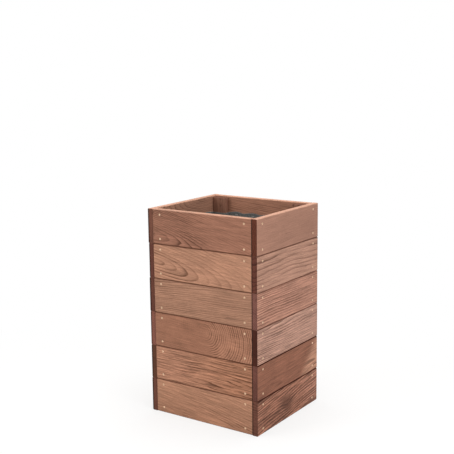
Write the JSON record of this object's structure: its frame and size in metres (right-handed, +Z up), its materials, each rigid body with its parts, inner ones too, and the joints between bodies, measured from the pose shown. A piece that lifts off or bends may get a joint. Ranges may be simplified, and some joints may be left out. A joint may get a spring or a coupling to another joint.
{
  "type": "raised garden bed",
  "caption": "Tall square raised garden bed of stacked stained boards, screwed to inner corner posts, with a slatted floor and a stapled fleece liner.",
  "frame": {"origin": "on the ground, under the middle of the bed", "axes": "+Z up, +X along the front wall to its right end, front wall towards -Y"},
  "size_m": [0.476, 0.428, 0.78],
  "materials": {
    "stained_wood": "thin reddish brown stain on sawn softwood, matt",
    "plain_wood": "untreated planed softwood, matt",
    "screw_steel": "zinc plated, dull",
    "staple_steel": "galvanised wire",
    "liner_fleece": "needle-punched geotextile fleece, black, matt"
  },
  "bodies": {
    "root": {"back_bearer": "plain_wood", "back_bearer_screws": "screw_steel", "back_board_1": "stained_wood", "back_board_2": "stained_wood", "back_board_3": "stained_wood", "back_board_4": "stained_wood", "back_board_5": "stained_wood", "back_board_6": "stained_wood", "back_left_post": "stained_wood", "back_liner_staples": "staple_steel", "back_right_post": "stained_wood", "back_wall_screws": "screw_steel", "floor_slat_1": "plain_wood", "floor_slat_2": "plain_wood", "floor_slat_3": "plain_wood", "floor_slat_4": "plain_wood", "floor_slat_5": "plain_wood", "front_bearer": "plain_wood", "front_bearer_screws": "screw_steel", "front_board_1": "stained_wood", "front_board_2": "stained_wood", "front_board_3": "stained_wood", "front_board_4": "stained_wood", "front_board_5": "stained_wood", "front_board_6": "stained_wood", "front_left_post": "stained_wood", "front_liner_staples": "staple_steel", "front_right_post": "stained_wood", "front_wall_screws": "screw_steel", "left_board_1": "stained_wood", "left_board_2": "stained_wood", "left_board_3": "stained_wood", "left_board_4": "stained_wood", "left_board_5": "stained_wood", "left_board_6": "stained_wood", "left_liner_staples": "staple_steel", "left_wall_screws": "screw_steel", "liner": "liner_fleece", "right_board_1": "stained_wood", "right_board_2": "stained_wood", "right_board_3": "stained_wood", "right_board_4": "stained_wood", "right_board_5": "stained_wood", "right_board_6": "stained_wood", "right_liner_staples": "staple_steel", "right_wall_screws": "screw_steel", "slat_screws": "screw_steel"}
  },
  "joints": []
}
